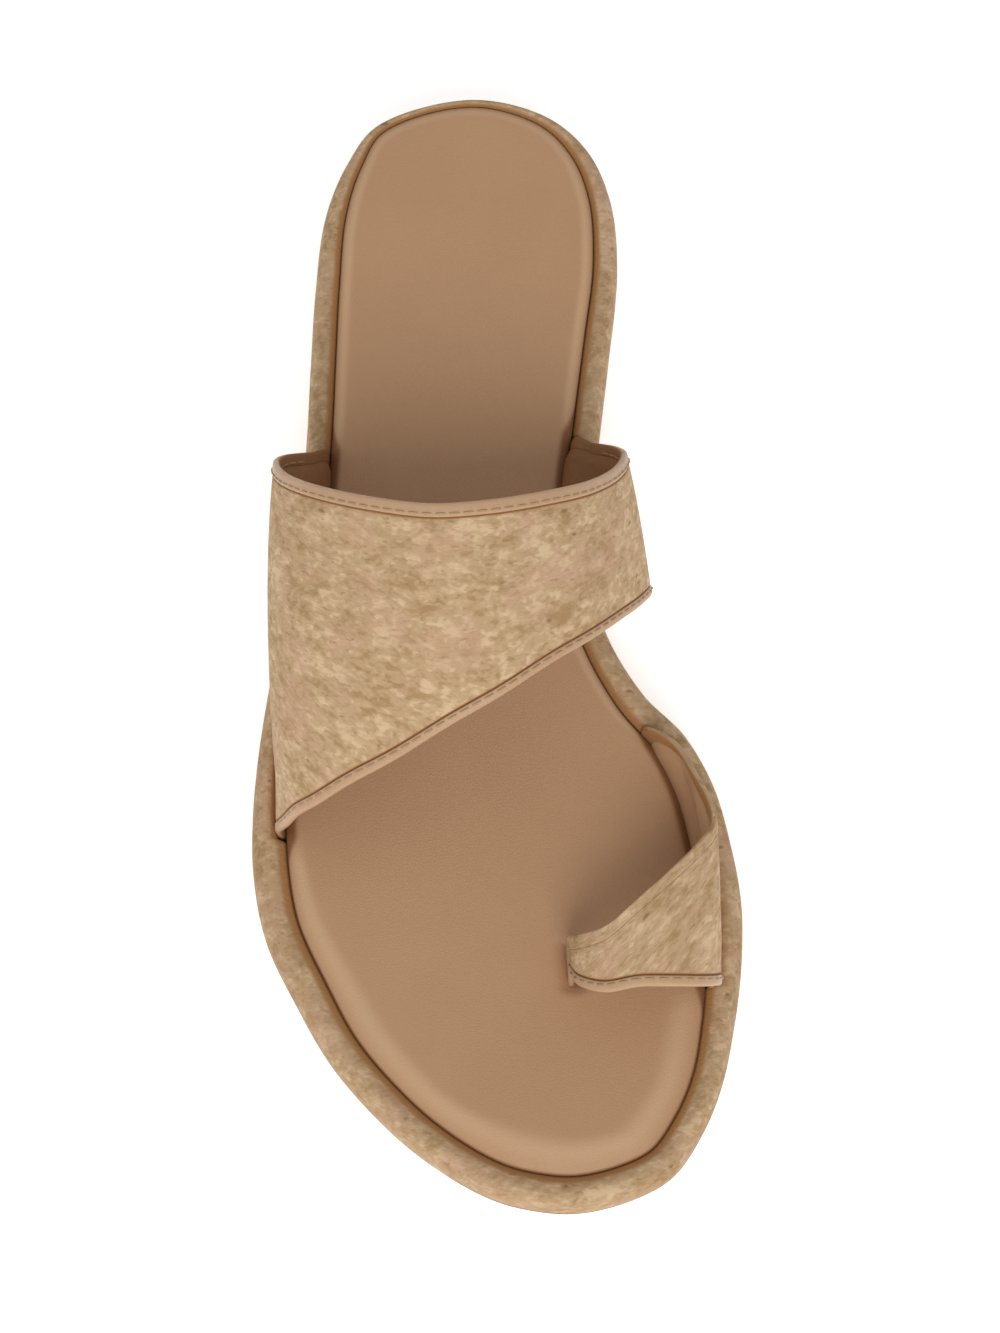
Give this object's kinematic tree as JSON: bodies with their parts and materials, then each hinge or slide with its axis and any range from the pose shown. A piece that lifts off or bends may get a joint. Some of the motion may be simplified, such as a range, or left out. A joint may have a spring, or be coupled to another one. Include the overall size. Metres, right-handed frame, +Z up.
{
  "type": "toe ring slide sandal",
  "caption": "Flat slide sandal with a broad slanting instep strap, a big-toe ring, a padded insole and a rounded cork-wrapped platform.",
  "frame": {"origin": "under the middle of the sandal's box, on the floor that it stands on", "axes": "+Z up, heel toward +Y and toe toward -Y, inner side of the foot toward +X"},
  "size_m": [0.105, 0.257, 0.0778],
  "materials": {
    "outsole_rubber": "matt, fine grain",
    "platform_cork": "cork sheet on cloth, matt, mottled",
    "strap_cork": "cork sheet on cloth, matt, mottled, leather lined",
    "insole_leather": "smooth, satin",
    "binding_leather": "smooth, satin"
  },
  "bodies": {
    "root": {"outsole": "outsole_rubber", "platform": "platform_cork", "insole": "insole_leather", "instep_strap": "strap_cork", "instep_binding_rear": "binding_leather", "instep_binding_front": "binding_leather", "toe_ring": "strap_cork", "ring_binding_rear": "binding_leather", "ring_binding_front": "binding_leather"}
  },
  "joints": []
}
